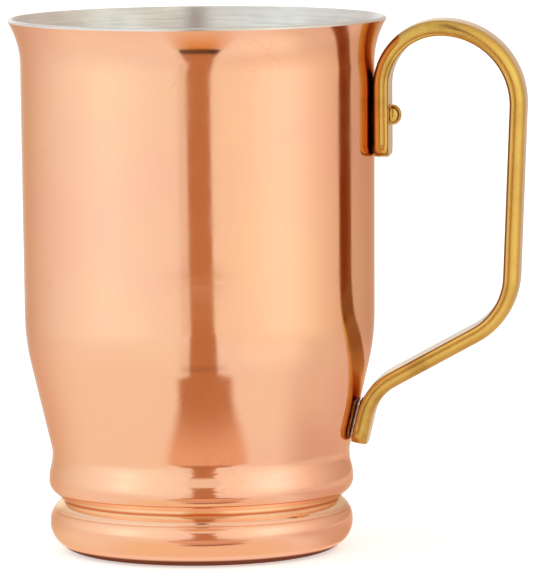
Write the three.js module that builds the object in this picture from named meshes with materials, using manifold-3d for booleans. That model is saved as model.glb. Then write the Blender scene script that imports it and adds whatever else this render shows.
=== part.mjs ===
// Copper coffee mug: a spun copper cup with a tinned inside and a bent brass handle, which is
// riveted at its upper tab and soldered at its lower tab.
// Millimetres. Z is up, the mug's axis is the Z axis, it stands on z = 0, the handle is towards +X.
import * as THREE from 'three';
import { mergeVertices } from 'three/addons/utils/BufferGeometryUtils.js';
import Module from 'manifold-3d';

const wasm = await Module();
wasm.setup();

const degrees = THREE.MathUtils.degToRad;

// Overall
const LIP_HEIGHT = 120;
const WALL_TOP_RADIUS = 39.15;

// Sheet and lining
const COPPER_THICKNESS = 0.8;
const LINING_THICKNESS = 0.3;
const LIP_CROWN = 0.45;

// Flared lip, wall and knee
const LIP_OVERHANG = 3.35;
const FLARE_ANGLE = degrees(31);
const WALL_DRAFT = 0.3;
const KNEE_HEIGHT = 47.9;
const KNEE_ROUNDING = 2.4;

// Bulge and waist, above the groove
const BULGE_SET_IN = 5;
const BULGE_ROUNDING = 3.3;
const FLANK_SLOPE = degrees(48);
const WAIST_SET_IN = 0.8;
const WAIST_ABOVE_BULGE = 6.18;
const WAIST_EASE = 0.58;

// Groove, the collar below it, and the foot bead, which a fine crease parts from the collar
const GROOVE_DEPTH = 3.05;
const GROOVE_RISE = 2.3;
const COLLAR_SET_IN = 0.4;
const COLLAR_RISE = 1.05;
const CREASE_SET_IN = 0.75;
const CREASE_RISE = 3;
const BEAD_UPRIGHT = 2.1;
const BEAD_SET_IN = 0.2;
const BEAD_WIDEST_HEIGHT = 6.5;
const BEAD_ROLL = 7.45;

// Section of the brass bar: one flat face, one crowned face, edges rounded by shares of its
// thickness
const BAR_WIDTH = 14;
const BAR_THICKNESS = 3.5;
const CROWN_RISE = 0.1;
const CROWNED_EDGE_SHARE = 0.64;
const FLAT_EDGE_SHARE = 0.25;
const TAB_CORNER_RADIUS = 3;

// Middle line of the handle: straight runs joined by bends
const UPPER_TAB_GAP = 0.3;
const UPPER_TAB_BELOW_RIVET = 9.2;
const UPPER_TAB_BEND = 13.2;
const LOOP_TOP_BELOW_LIP = 2.35;
const TOP_STRAIGHT = 0.2;
const GRIP_TOP_BEND = 17.1;
const GRIP_LEAN = degrees(2.45);
const GRIP_FOOT_BEND = 15.5;
const ARM_SLOPE = degrees(28.4);
const LOWER_TAB_BEND = 12.5;
const LOWER_TAB_LENGTH = 12.2;
const LOWER_TAB_ABOVE_WAIST = 2.1;

// Rivet
const RIVET_BELOW_LIP = 22;
const SHANK_RADIUS = 1.6;
const HEAD_RADIUS = 2.9;
const HEAD_RISE = 2.5;
const HEAD_SKIRT = 0.6;
const TAIL_RADIUS = 2.8;
const TAIL_RISE = 1.1;
const SHANK_CLEARANCE = 0.3;

// Solder between the lower tab and the taper
const SOLDER_THICKNESS = 0.7;
const SOLDER_HEIGHT = 8.7;
const SOLDER_WIDTH = 12;
const SOLDER_CORNER = 1.5;
const SOLDER_ABOVE_TAB_END = 0.8;

// Gap that a piece keeps from a curved neighbour
const SEAT_GAP = 0.3;

// Facets
const TURNS = 40;
const BAR_STEPS = 54;

// Radii and heights that follow from the sizes above
const LIP_RADIUS = WALL_TOP_RADIUS + LIP_OVERHANG;
const KNEE_RADIUS = WALL_TOP_RADIUS - WALL_DRAFT;
const BULGE_RADIUS = WALL_TOP_RADIUS - BULGE_SET_IN;
const WAIST_RADIUS = BULGE_RADIUS - WAIST_SET_IN;
const GROOVE_RADIUS = BULGE_RADIUS - GROOVE_DEPTH;
const BEAD_RADIUS = BULGE_RADIUS - BEAD_SET_IN;
const CREASE_RADIUS = BEAD_RADIUS - CREASE_SET_IN;
const FLOOR_FLAT_RADIUS = BEAD_RADIUS - BEAD_ROLL;
const FLANK_TOP_RADIUS = BULGE_RADIUS - BULGE_ROUNDING * (1 - Math.cos(FLANK_SLOPE));

const CREASE_HEIGHT = BEAD_WIDEST_HEIGHT + CREASE_RISE;
const GROOVE_HEIGHT = CREASE_HEIGHT + GROOVE_RISE;
const FLANK_TOP_HEIGHT = GROOVE_HEIGHT + (FLANK_TOP_RADIUS - GROOVE_RADIUS) / Math.tan(FLANK_SLOPE);
const BULGE_HEIGHT = FLANK_TOP_HEIGHT + BULGE_ROUNDING * Math.sin(FLANK_SLOPE);
const WAIST_HEIGHT = BULGE_HEIGHT + WAIST_ABOVE_BULGE;
const TAPER_FOOT = WAIST_HEIGHT + WAIST_EASE;
const TAPER_SLOPE = (KNEE_RADIUS - WAIST_RADIUS) / (KNEE_HEIGHT - TAPER_FOOT);
const TAPER_ANGLE = Math.atan(TAPER_SLOPE);
const CROWNED_EDGE_RADIUS = BAR_THICKNESS * CROWNED_EDGE_SHARE;
const FLAT_EDGE_RADIUS = BAR_THICKNESS * FLAT_EDGE_SHARE;
const RIVET_HEIGHT = LIP_HEIGHT - RIVET_BELOW_LIP;
const LOOP_TOP_HEIGHT = LIP_HEIGHT - LOOP_TOP_BELOW_LIP;

const COPPER = { color: 0xd98a5f, roughness: 0.16, metalness: 1 };
const TIN = { color: 0xc9c8c0, roughness: 0.42, metalness: 1 };
const BRASS = { color: 0xc99a3a, roughness: 0.3, metalness: 1 };
const SOLDER = { color: 0xb9b8b2, roughness: 0.5, metalness: 1 };

const at = (r, z) => new THREE.Vector2(r, z);

// One stretch of an outline, with the number of facets that it gets
const line = (from, to) => ({ curve: new THREE.LineCurve(from, to), facets: 1 });
const bend = (from, corner, to, facets) => ({
  curve: new THREE.QuadraticBezierCurve(from, corner, to),
  facets,
});
const arc = (centre, radii, from, to, facets) => ({
  curve: new THREE.EllipseCurve(centre.x, centre.y, radii.x, radii.y, from, to, from > to),
  facets,
});

// Lip: where the copper's outer edge ends, so that the lining that wraps over it tops out at the
// lip's radius and height
function lipShape() {
  const half = (COPPER_THICKNESS + LINING_THICKNESS) / 2;
  const sin = Math.sin(FLARE_ANGLE);
  const cos = Math.cos(FLARE_ANGLE);
  const edge = at(
    LIP_RADIUS + half * cos - Math.hypot(half * cos, LIP_CROWN * sin),
    LIP_HEIGHT - half * sin - Math.hypot(half * sin, LIP_CROWN * cos),
  );
  return { edge, outward: at(cos, -sin), along: at(sin, cos), half };
}

// Flare: an arc that leaves the wall upright and reaches the lip at the flare angle
function flareShape() {
  const { edge } = lipShape();
  const run = edge.x - WALL_TOP_RADIUS;
  const rise = run / Math.tan(FLARE_ANGLE / 2);
  const radius = rise / Math.sin(FLARE_ANGLE);
  return { start: at(WALL_TOP_RADIUS, edge.y - rise), radius };
}

const taperRadius = (z) => KNEE_RADIUS - (KNEE_HEIGHT - z) * TAPER_SLOPE;

// Foot: floor, rolled bead, fine crease, and the collar up to the groove
function footCurves() {
  const floorEdge = at(FLOOR_FLAT_RADIUS, 0);
  const widest = at(BEAD_RADIUS, BEAD_WIDEST_HEIGHT);
  const crease = at(CREASE_RADIUS, CREASE_HEIGHT);
  const collar = at(crease.x - COLLAR_SET_IN, crease.y + COLLAR_RISE);
  const rollCentre = at(floorEdge.x, widest.y);
  const rollRadii = at(BEAD_ROLL, widest.y);
  return [
    line(at(0, 0), floorEdge),
    arc(rollCentre, rollRadii, -Math.PI / 2, 0, 5),
    bend(widest, at(widest.x, widest.y + BEAD_UPRIGHT), crease, 3),
    bend(crease, collar, at(GROOVE_RADIUS, GROOVE_HEIGHT), 2),
  ];
}

// Bulge above the groove, and the waist above the bulge
function bulgeCurves() {
  const flankTop = at(FLANK_TOP_RADIUS, FLANK_TOP_HEIGHT);
  const bulge = at(BULGE_RADIUS, BULGE_HEIGHT);
  const rounding = at(BULGE_ROUNDING, BULGE_ROUNDING);
  const waist = at(WAIST_RADIUS, WAIST_HEIGHT);
  const middle = (bulge.y + waist.y) / 2;
  const neck = new THREE.CubicBezierCurve(bulge, at(bulge.x, middle), at(waist.x, middle), waist);
  return [
    line(at(GROOVE_RADIUS, GROOVE_HEIGHT), flankTop),
    arc(at(bulge.x - BULGE_ROUNDING, bulge.y), rounding, -FLANK_SLOPE, 0, 3),
    { curve: neck, facets: 3 },
  ];
}

// Taper from the waist to the knee, then the wall and its flare
function wallCurves() {
  const waist = at(WAIST_RADIUS, WAIST_HEIGHT);
  const taperStart = TAPER_FOOT + WAIST_EASE;
  const taperEnd = KNEE_HEIGHT - KNEE_ROUNDING;
  const from = at(taperRadius(taperStart), taperStart);
  const to = at(taperRadius(taperEnd), taperEnd);
  const knee = at(KNEE_RADIUS, KNEE_HEIGHT);
  const flare = flareShape();
  const wallStart = knee.clone().lerp(flare.start, KNEE_ROUNDING / (flare.start.y - knee.y));
  const flareCentre = at(flare.start.x + flare.radius, flare.start.y);
  const flareRadii = at(flare.radius, flare.radius);
  return [
    bend(waist, at(WAIST_RADIUS, TAPER_FOOT), from, 2),
    line(from, to),
    bend(to, knee, wallStart, 2),
    line(wallStart, flare.start),
    arc(flareCentre, flareRadii, Math.PI, Math.PI - FLARE_ANGLE, 4),
  ];
}

// Points of the cup's outline, set in from the outside by a thickness
function cupOutline(inset) {
  const points = [];
  let last = null;
  for (const { curve, facets } of [...footCurves(), ...bulgeCurves(), ...wallCurves()]) {
    for (let i = 0; i <= facets; i += 1) {
      const point = curve.getPoint(i / facets);
      const tangent = curve.getTangent(i / facets);
      const normal = at(tangent.y, -tangent.x);
      const moved = point.clone().addScaledVector(normal, -inset);
      if (i === 0 && last) {
        const corner = last.normal.clone().add(normal);
        const gap = moved.clone().sub(last.moved);
        if (gap.length() > 1e-4) {
          const opens = gap.dot(tangent) > 0;
          const reach = opens ? inset / corner.length() : (2 * inset) / corner.lengthSq();
          const middle = point.clone().addScaledVector(corner, -reach);
          if (!opens) points.pop();
          points.push(middle);
          if (opens) points.push(moved);
        }
      } else {
        points.push(moved);
      }
      last = { moved, normal };
    }
  }
  points[0].x = 0;
  return points;
}

// Crown of the lip, from the copper's outer edge over to the inside of the lining
function lipCrown() {
  const { edge, outward, along, half } = lipShape();
  const middle = edge.clone().addScaledVector(outward, -half);
  const facets = 4;
  const points = [edge];
  for (let i = 1; i < facets; i += 1) {
    const turn = (Math.PI * i) / facets;
    const point = middle.clone().addScaledVector(outward, half * Math.cos(turn));
    points.push(point.addScaledVector(along, LIP_CROWN * Math.sin(turn)));
  }
  return points;
}

const turned = (points, turns = TURNS) => new THREE.LatheGeometry(points, turns).rotateX(Math.PI / 2);

function toSolid(geometry) {
  const plain = geometry.clone();
  plain.deleteAttribute('normal');
  plain.deleteAttribute('uv');
  const merged = mergeVertices(plain, 1e-5);
  return new wasm.Manifold(new wasm.Mesh({
    numProp: 3,
    vertProperties: new Float32Array(merged.attributes.position.array),
    triVerts: new Uint32Array(merged.index.array),
  }));
}

function toGeometry(solid) {
  const mesh = solid.getMesh();
  const geometry = new THREE.BufferGeometry();
  geometry.setAttribute('position', new THREE.BufferAttribute(mesh.vertProperties, 3));
  geometry.setIndex(new THREE.BufferAttribute(mesh.triVerts, 1));
  geometry.computeVertexNormals();
  return geometry;
}

const cut = (geometry, ...tools) => toGeometry(
  tools.reduce((solid, tool) => solid.subtract(toSolid(tool)), toSolid(geometry)),
);

// Hole for the rivet's shank, straight out along X
function rivetHole() {
  const radius = SHANK_RADIUS + SHANK_CLEARANCE;
  const length = LIP_RADIUS;
  const hole = new THREE.CylinderGeometry(radius, radius, length, 24).rotateZ(Math.PI / 2);
  return hole.translate(WALL_TOP_RADIUS, 0, RIVET_HEIGHT);
}

function copperBody() {
  const outside = cupOutline(0);
  const inside = cupOutline(COPPER_THICKNESS);
  return cut(turned([...outside, ...inside.reverse()]), rivetHole());
}

function tinLining() {
  const outside = cupOutline(COPPER_THICKNESS);
  const inside = cupOutline(COPPER_THICKNESS + LINING_THICKNESS);
  return cut(turned([...outside, ...lipCrown(), ...inside.reverse()]), rivetHole());
}

// Middle line of the handle in the XZ plane: corners of its straight runs, each with its bend
function handleCorners() {
  const tabX = WALL_TOP_RADIUS + UPPER_TAB_GAP + CROWN_RISE + BAR_THICKNESS / 2;
  const tabTop = at(tabX, LOOP_TOP_HEIGHT);
  const gripTrim = GRIP_TOP_BEND * Math.tan(Math.PI / 4 + GRIP_LEAN / 2);
  const gripTop = at(tabX + UPPER_TAB_BEND + TOP_STRAIGHT + gripTrim, LOOP_TOP_HEIGHT);

  const lowEnd = WAIST_HEIGHT + LOWER_TAB_ABOVE_WAIST;
  const standOff = (SOLDER_THICKNESS + BAR_THICKNESS / 2) / Math.cos(TAPER_ANGLE);
  const tabEnd = at(taperRadius(lowEnd) + standOff, lowEnd);
  const taperDirection = at(Math.sin(TAPER_ANGLE), Math.cos(TAPER_ANGLE));
  const elbow = tabEnd.clone().addScaledVector(taperDirection, LOWER_TAB_LENGTH);

  const lean = Math.tan(GRIP_LEAN);
  const rise = Math.tan(ARM_SLOPE);
  const fall = gripTop.y - elbow.y + rise * elbow.x;
  const gripFootX = (gripTop.x - lean * fall) / (1 - lean * rise);
  const gripFoot = at(gripFootX, elbow.y + rise * (gripFootX - elbow.x));
  return [
    { corner: at(tabX, RIVET_HEIGHT - UPPER_TAB_BELOW_RIVET) },
    { corner: tabTop, radius: UPPER_TAB_BEND },
    { corner: gripTop, radius: GRIP_TOP_BEND },
    { corner: gripFoot, radius: GRIP_FOOT_BEND },
    { corner: elbow, radius: LOWER_TAB_BEND },
    { corner: tabEnd },
  ];
}

// Straight runs and the round bends between them
class HandleLine extends THREE.Curve {
  constructor(corners) {
    super();
    this.flat = new THREE.CurvePath();
    let from = corners[0].corner;
    for (let i = 1; i < corners.length - 1; i += 1) {
      const { corner, radius } = corners[i];
      const before = corner.clone().sub(corners[i - 1].corner).normalize();
      const after = corners[i + 1].corner.clone().sub(corner).normalize();
      const side = Math.sign(before.cross(after));
      const turn = Math.acos(before.dot(after));
      const trim = radius * Math.tan(turn / 2);
      const start = corner.clone().addScaledVector(before, -trim);
      const centre = start.clone().addScaledVector(at(-before.y, before.x), side * radius);
      const angle = Math.atan2(start.y - centre.y, start.x - centre.x);
      this.flat.add(new THREE.LineCurve(from, start));
      this.flat.add(new THREE.EllipseCurve(
        centre.x, centre.y, radius, radius, angle, angle + side * turn, side < 0,
      ));
      from = corner.clone().addScaledVector(after, trim);
    }
    this.flat.add(new THREE.LineCurve(from, corners.at(-1).corner));
  }

  getPoint(t, target = new THREE.Vector3()) {
    const point = this.flat.getPoint(t);
    return target.set(point.x, 0, point.y);
  }
}

// Section of the bar: x across its width, +y its flat face, -y its crowned face
function barSection() {
  const side = BAR_WIDTH / 2;
  const face = BAR_THICKNESS / 2;
  const flat = FLAT_EDGE_RADIUS;
  const crowned = CROWNED_EDGE_RADIUS;
  const section = new THREE.Shape();
  section.moveTo(-side + crowned, -face);
  section.quadraticCurveTo(0, -face - 2 * CROWN_RISE, side - crowned, -face);
  section.absarc(side - crowned, -face + crowned, crowned, -Math.PI / 2, 0);
  section.absarc(side - flat, face - flat, flat, 0, Math.PI / 2);
  section.absarc(-side + flat, face - flat, flat, Math.PI / 2, Math.PI);
  section.absarc(-side + crowned, -face + crowned, crowned, Math.PI, 1.5 * Math.PI);
  return section;
}

// What is cut away at a tab's end to round its two corners
function tabCornerTools(end, inward) {
  const side = BAR_WIDTH / 2;
  const radius = TAB_CORNER_RADIUS;
  const spare = 1;
  const across = new THREE.Vector3(0, 1, 0);
  const along = new THREE.Vector3(inward.x, 0, inward.y).normalize();
  const through = across.clone().cross(along);
  const depth = BAR_THICKNESS + 4 * spare;
  return [1, -1].map((hand) => {
    const shape = new THREE.Shape();
    shape.moveTo(hand * (side + spare), -spare);
    shape.lineTo(hand * (side + spare), radius);
    shape.lineTo(hand * side, radius);
    shape.absarc(hand * (side - radius), radius, radius, hand > 0 ? 0 : Math.PI, 1.5 * Math.PI, hand > 0);
    shape.lineTo(hand * (side - radius), -spare);
    const tool = new THREE.ExtrudeGeometry(shape, { depth, bevelEnabled: false, curveSegments: 6 });
    const place = new THREE.Matrix4().makeBasis(across, along, through);
    place.setPosition(new THREE.Vector3(end.x, 0, end.y).addScaledVector(through, -depth / 2));
    return tool.applyMatrix4(place);
  });
}

function brassHandle() {
  const corners = handleCorners();
  const bar = new THREE.ExtrudeGeometry(barSection(), {
    steps: BAR_STEPS,
    extrudePath: new HandleLine(corners),
    bevelEnabled: false,
    curveSegments: 3,
  });
  const points = corners.map(({ corner }) => corner);
  const upper = tabCornerTools(points[0], points[1].clone().sub(points[0]));
  const lower = tabCornerTools(points.at(-1), points.at(-2).clone().sub(points.at(-1)));
  return cut(bar, ...upper, ...lower, rivetHole());
}

// Rivet: head on the tab's flat face, shank through tab, copper and lining, peened tail inside
function handleRivet() {
  const headSeat = WALL_TOP_RADIUS + UPPER_TAB_GAP + CROWN_RISE + BAR_THICKNESS;
  const flare = flareShape();
  const share = (RIVET_HEIGHT - KNEE_HEIGHT) / (flare.start.y - KNEE_HEIGHT);
  const wallRadius = KNEE_RADIUS + (WALL_TOP_RADIUS - KNEE_RADIUS) * share;
  const inside = wallRadius - COPPER_THICKNESS - LINING_THICKNESS;
  const tailSeat = Math.sqrt(inside ** 2 - TAIL_RADIUS ** 2) - SEAT_GAP;
  const waist = HEAD_RADIUS - HEAD_SKIRT;
  const stretches = [
    arc(at(0, tailSeat), at(TAIL_RADIUS, TAIL_RISE), -Math.PI / 2, 0, 4),
    line(at(SHANK_RADIUS, tailSeat), at(SHANK_RADIUS, headSeat)),
    bend(at(HEAD_RADIUS, headSeat), at(waist, headSeat), at(waist, headSeat + HEAD_SKIRT), 3),
    arc(at(0, headSeat + HEAD_SKIRT), at(waist, HEAD_RISE - HEAD_SKIRT), 0, Math.PI / 2, 5),
  ];
  const points = [];
  for (const { curve, facets } of stretches) {
    for (const point of curve.getPoints(facets)) {
      if (!points.length || point.distanceTo(points.at(-1)) > 1e-6) points.push(point);
    }
  }
  points[0].x = 0;
  points.at(-1).x = 0;
  const rivet = new THREE.LatheGeometry(points, 20).rotateZ(-Math.PI / 2);
  return rivet.translate(0, 0, RIVET_HEIGHT);
}

// Solder: a rounded pad on the lower tab's flat face, hollowed to the copper's taper
function solderPad() {
  const [elbow, end] = handleCorners().slice(-2).map(({ corner }) => corner);
  const up = elbow.clone().sub(end).normalize();
  const toWall = at(-up.y, up.x);
  const across = new THREE.Vector3(0, 1, 0);
  const along = new THREE.Vector3(up.x, 0, up.y);
  const through = across.clone().cross(along);
  const half = SOLDER_WIDTH / 2;
  const low = SOLDER_ABOVE_TAB_END;
  const high = low + SOLDER_HEIGHT;
  const corner = SOLDER_CORNER;
  const shape = new THREE.Shape();
  shape.absarc(half - corner, low + corner, corner, -Math.PI / 2, 0);
  shape.absarc(half - corner, high - corner, corner, 0, Math.PI / 2);
  shape.absarc(-half + corner, high - corner, corner, Math.PI / 2, Math.PI);
  shape.absarc(-half + corner, low + corner, corner, Math.PI, 1.5 * Math.PI);
  const depth = 3 * SOLDER_THICKNESS;
  const pad = new THREE.ExtrudeGeometry(shape, { depth, bevelEnabled: false, curveSegments: 3 });
  const seat = end.clone().addScaledVector(toWall, BAR_THICKNESS / 2 + depth);
  const place = new THREE.Matrix4().makeBasis(across, along, through);
  place.setPosition(seat.x, 0, seat.y);
  pad.applyMatrix4(place);

  const gap = SEAT_GAP / Math.cos(TAPER_ANGLE);
  const cone = turned([
    at(0, 0),
    at(taperRadius(0) + gap, 0),
    at(taperRadius(KNEE_HEIGHT) + gap, KNEE_HEIGHT),
    at(0, KNEE_HEIGHT),
  ]);
  return cut(pad, cone);
}

function piece(name, geometry, finish) {
  const mesh = new THREE.Mesh(geometry, new THREE.MeshStandardMaterial(finish));
  mesh.name = name;
  return mesh;
}

const mug = new THREE.Group();
mug.add(
  piece('copper_body', copperBody(), COPPER),
  piece('tin_lining', tinLining(), TIN),
  piece('brass_handle', brassHandle(), BRASS),
  piece('handle_rivet', handleRivet(), BRASS),
  piece('solder_pad', solderPad(), SOLDER),
);

export default mug;
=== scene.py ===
"""Copper mug with a tinned inside and a bent brass handle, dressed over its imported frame.

Metres. Z is up, the mug's axis is the Z axis, and the handle is towards +X.
"""

import math

import bmesh
import bpy
import numpy as np
from bpy.props import FloatProperty, FloatVectorProperty, IntProperty, PointerProperty
from mathutils import Matrix, Vector, noise


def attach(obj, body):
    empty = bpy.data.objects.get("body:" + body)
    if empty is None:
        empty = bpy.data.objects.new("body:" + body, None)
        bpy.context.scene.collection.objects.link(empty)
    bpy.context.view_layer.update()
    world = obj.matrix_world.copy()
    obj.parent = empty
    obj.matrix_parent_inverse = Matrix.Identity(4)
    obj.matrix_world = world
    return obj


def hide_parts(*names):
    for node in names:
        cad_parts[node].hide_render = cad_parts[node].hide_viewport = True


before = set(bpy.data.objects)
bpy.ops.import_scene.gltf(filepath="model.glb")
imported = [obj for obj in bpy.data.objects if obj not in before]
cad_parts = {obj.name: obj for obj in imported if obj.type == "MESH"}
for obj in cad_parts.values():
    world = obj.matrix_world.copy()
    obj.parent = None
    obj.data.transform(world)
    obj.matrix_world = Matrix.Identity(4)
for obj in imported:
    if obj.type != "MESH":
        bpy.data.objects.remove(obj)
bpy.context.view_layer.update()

bl_info = {
    "name": "Copper mug",
    "version": (1, 0, 0),
    "blender": (4, 5, 0),
    "location": "3D View > Sidebar > Copper mug",
    "description": "Builds a spun copper mug with a tinned inside and a riveted brass handle",
    "category": "Add Mesh",
}

MM = 0.001
BODY = "root"
QUARTER = math.pi / 2


# Kinds of settings

def length(name, description, millimetres):
    return FloatProperty(
        name=name, description=description, default=millimetres * MM, unit="LENGTH", precision=5
    )


def angle(name, description, degrees):
    return FloatProperty(
        name=name, description=description, default=math.radians(degrees), subtype="ANGLE"
    )


def colour(name, description, red, green, blue):
    return FloatVectorProperty(
        name=name, description=description, default=(red, green, blue),
        subtype="COLOR", size=3, min=0, max=2,
    )


def share(name, description, value, most=1.0):
    return FloatProperty(
        name=name, description=description, default=value, min=0, max=most, subtype="FACTOR"
    )


class MugCupSizes(bpy.types.PropertyGroup):
    """Sizes of the spun copper cup and its tin lining"""

    lip_height: length("Lip height", "Height of the lip above the table", 120)
    wall_radius: length("Wall radius", "Outer radius of the wall at its top", 39.68)
    copper: length("Copper sheet", "Thickness of the copper", 0.8)
    lining: length("Tin lining", "Thickness of the tin", 0.3)
    lip_crown: length("Lip crown", "Rise of the tin over the lip", 0.3)
    lip_overhang: length("Lip overhang", "How far the lip stands out beyond the wall", 2.75)
    flare: angle("Flare", "Slope of the flare at the lip", 31)
    wall_draft: length("Wall draft", "How much narrower the wall is at the knee", 0.4)
    knee_height: length("Knee height", "Height where the taper meets the wall", 47.9)
    knee_rounding: length("Knee rounding", "Length of the knee's bend on each side", 5.5)
    bulge_set_in: length("Bulge set in", "How far the bulge lies inside the wall's radius", 5.42)
    bulge_rounding: length("Bulge rounding", "Radius of the bulge's lower turn", 3.3)
    flank: angle("Flank slope", "Slope between the groove and the bulge", 48)
    waist_set_in: length("Waist set in", "How far the waist lies inside the bulge", 0.8)
    waist_rise: length("Waist rise", "Height of the waist above the bulge", 6.18)
    waist_ease: length("Waist ease", "Length of the waist's bend on each side", 0.58)
    groove_depth: length("Groove depth", "Depth of the groove inside the bulge", 3.2)
    groove_rise: length("Groove rise", "Height of the groove above the fine crease", 2.3)
    collar_set_in: length("Collar set in", "How far the collar's turn lies in from the crease", 0.4)
    collar_rise: length("Collar rise", "Height of the collar's turn above the crease", 1.05)
    crease_set_in: length("Crease set in", "How far the fine crease lies inside the bead", 0.75)
    crease_rise: length("Crease rise", "Height of the fine crease above the widest bead", 3)
    bead_upright: length("Bead upright", "Height of the bead's upper turn", 2.1)
    bead_set_in: length("Bead set in", "How far the bead lies inside the bulge", 0.2)
    bead_height: length("Bead height", "Height where the bead is widest", 6.5)
    bead_roll: length("Bead roll", "Width of the bead's turn down to the floor", 7.45)
    turns: IntProperty(
        name="Turns", description="Facets round the cup", default=224, min=48, max=512
    )


class MugHandleSizes(bpy.types.PropertyGroup):
    """Sizes of the bent brass handle"""

    width: length("Bar width", "Width of the bar, across the handle", 14)
    thickness: length("Bar thickness", "Thickness of the bar", 3.5)
    crown: length("Crown", "Rise of the bar's outer face", 0.1)
    outer_edge: length("Outer edges", "Radius of the edges of the outer face", 2.24)
    inner_edge: length("Inner edges", "Radius of the edges of the flat face", 0.875)
    tab_corner: length("Tab corners", "Radius of the corners at each end", 3)
    end_edge: length("End edges", "Radius of the edge round each end", 0.45)
    tab_gap: length("Tab gap", "Gap between the upper tab and the wall", 0.0)
    tab_below_rivet: length("Tab below rivet", "Length of the upper tab below its rivet", 9.2)
    upper_bend: length("Upper tab bend", "Bend from the tab into the loop", 13.2)
    below_lip: length("Loop below lip", "Depth of the loop's middle line below the lip", 2.35)
    top_straight: length("Top straight", "Straight run on top of the loop", 0.2)
    grip_top_bend: length("Grip top bend", "Bend from the loop into the grip", 17.1)
    grip_lean: angle("Grip lean", "How far the grip leans in at its foot", 2.45)
    grip_foot_bend: length("Grip foot bend", "Bend from the grip into the arm", 15.5)
    arm_slope: angle("Arm slope", "Slope of the arm under the fingers", 28.4)
    lower_bend: length("Lower tab bend", "Bend from the arm into the lower tab", 12.5)
    lower_tab: length("Lower tab", "Length of the lower tab up to the arm", 12.2)
    above_waist: length("Above waist", "Height of the lower tab's end above the waist", 2.1)


class MugFixingSizes(bpy.types.PropertyGroup):
    """Sizes of the rivet and of the solder"""

    rivet_below_lip: length("Rivet below lip", "Depth of the rivet below the lip", 22)
    shank: length("Shank radius", "Radius of the rivet's shank", 1.6)
    hole: length("Hole radius", "Radius of the hole for the shank", 1.9)
    head: length("Head radius", "Radius of the rivet's head", 2.9)
    head_rise: length("Head rise", "Height of the rivet's head", 2.5)
    head_skirt: length("Head skirt", "Size of the hollow turn at the head's foot", 0.6)
    tail: length("Tail radius", "Radius of the rivet's peened tail", 2.8)
    tail_rise: length("Tail rise", "Height of the rivet's peened tail", 1.1)
    seat_gap: length("Seat gap", "Gap to a curved neighbour", 0.3)
    solder: length("Solder thickness", "Solder between the lower tab and the cup", 0.35)
    solder_height: length("Solder height", "Height of the solder", 8.7)
    solder_width: length("Solder width", "Width of the solder", 9.5)
    solder_corner: length("Solder corners", "Radius of the solder's corners", 1.5)
    solder_above_end: length("Solder above end", "Solder's foot above the tab's end", 0.8)


class MugFinishes(bpy.types.PropertyGroup):
    """Colours and gloss of the metals"""

    copper: colour("Copper", "Polished copper", 0.905, 0.515, 0.33)
    copper_rosy: colour("Rosy copper", "Drifts of a rosier copper", 0.9, 0.48, 0.335)
    # Painted shade: this dark copper darkens the groove's crease and the fine crease; it also
    # colours faint dark scrawls.
    crease_shade_and_oxide: colour("Copper oxide", "Copper in the crease of the groove", 0.72, 0.24, 0.1)
    copper_edge: colour("Copper's edge", "Gloss that copper keeps at its limbs", 0.9, 0.7, 0.55)
    # Painted highlight: this pale copper is painted in a band along the groove.
    painted_groove_highlight: colour("Pale copper", "Copper burnished pale by the groove", 0.95, 0.74, 0.57)
    tin: colour("Tin", "Brushed tin", 0.83, 0.8, 0.79)
    tin_dull: colour("Dull tin", "Drifts of a duller tin", 0.74, 0.71, 0.69)
    brass: colour("Brass", "Satin brass", 0.77, 0.485, 0.125)
    brass_edge: colour("Brass's edge", "Gloss that brass keeps at its limbs", 1.0, 0.95, 0.93)
    brass_brown: colour("Brown brass", "Brass where it is worn and browned", 0.47, 0.27, 0.06)
    # Painted shade: this dark brass darkens the grip's inner face, which faces the cup.
    painted_shade_brass: colour("Dark brass", "Tarnished brass on the grip's inner face", 0.34, 0.16, 0.06)
    solder: colour("Solder", "Grey solder", 0.8, 0.78, 0.8)
    copper_roughness: share("Copper roughness", "Roughness of the copper", 0.105)
    tin_roughness: share("Tin roughness", "Roughness of the tin", 0.36)
    brass_roughness: share("Brass roughness", "Roughness of the brass", 0.2)


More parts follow.
